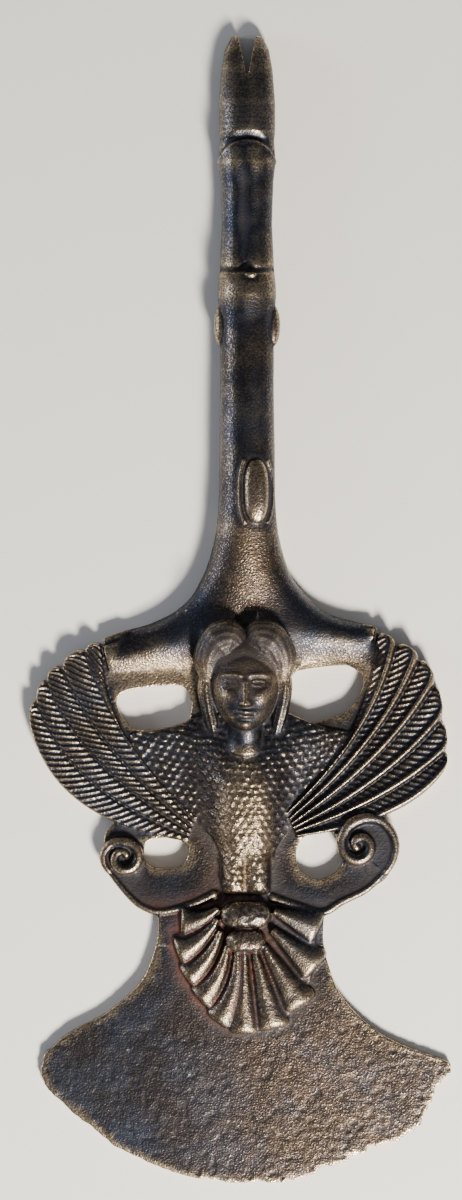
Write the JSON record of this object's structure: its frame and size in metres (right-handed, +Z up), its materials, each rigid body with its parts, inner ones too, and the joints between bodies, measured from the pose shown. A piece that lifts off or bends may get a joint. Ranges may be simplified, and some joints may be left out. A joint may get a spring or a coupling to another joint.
{
  "type": "bronze razor",
  "caption": "Cast bronze razor with a flared blade, a siren with spread wings and a handle shaped as a cloven leg.",
  "frame": {"origin": "on the flat back, under the middle of the siren", "axes": "+Y from the blade to the hoof at the handle's end, +X to the right of the siren as it is looked down on, +Z up out of the worked face"},
  "size_m": [0.063, 0.1719, 0.0112],
  "materials": {
    "bronze": "aged dark bronze"
  },
  "bodies": {
    "root": {"razor": "bronze"}
  },
  "joints": []
}
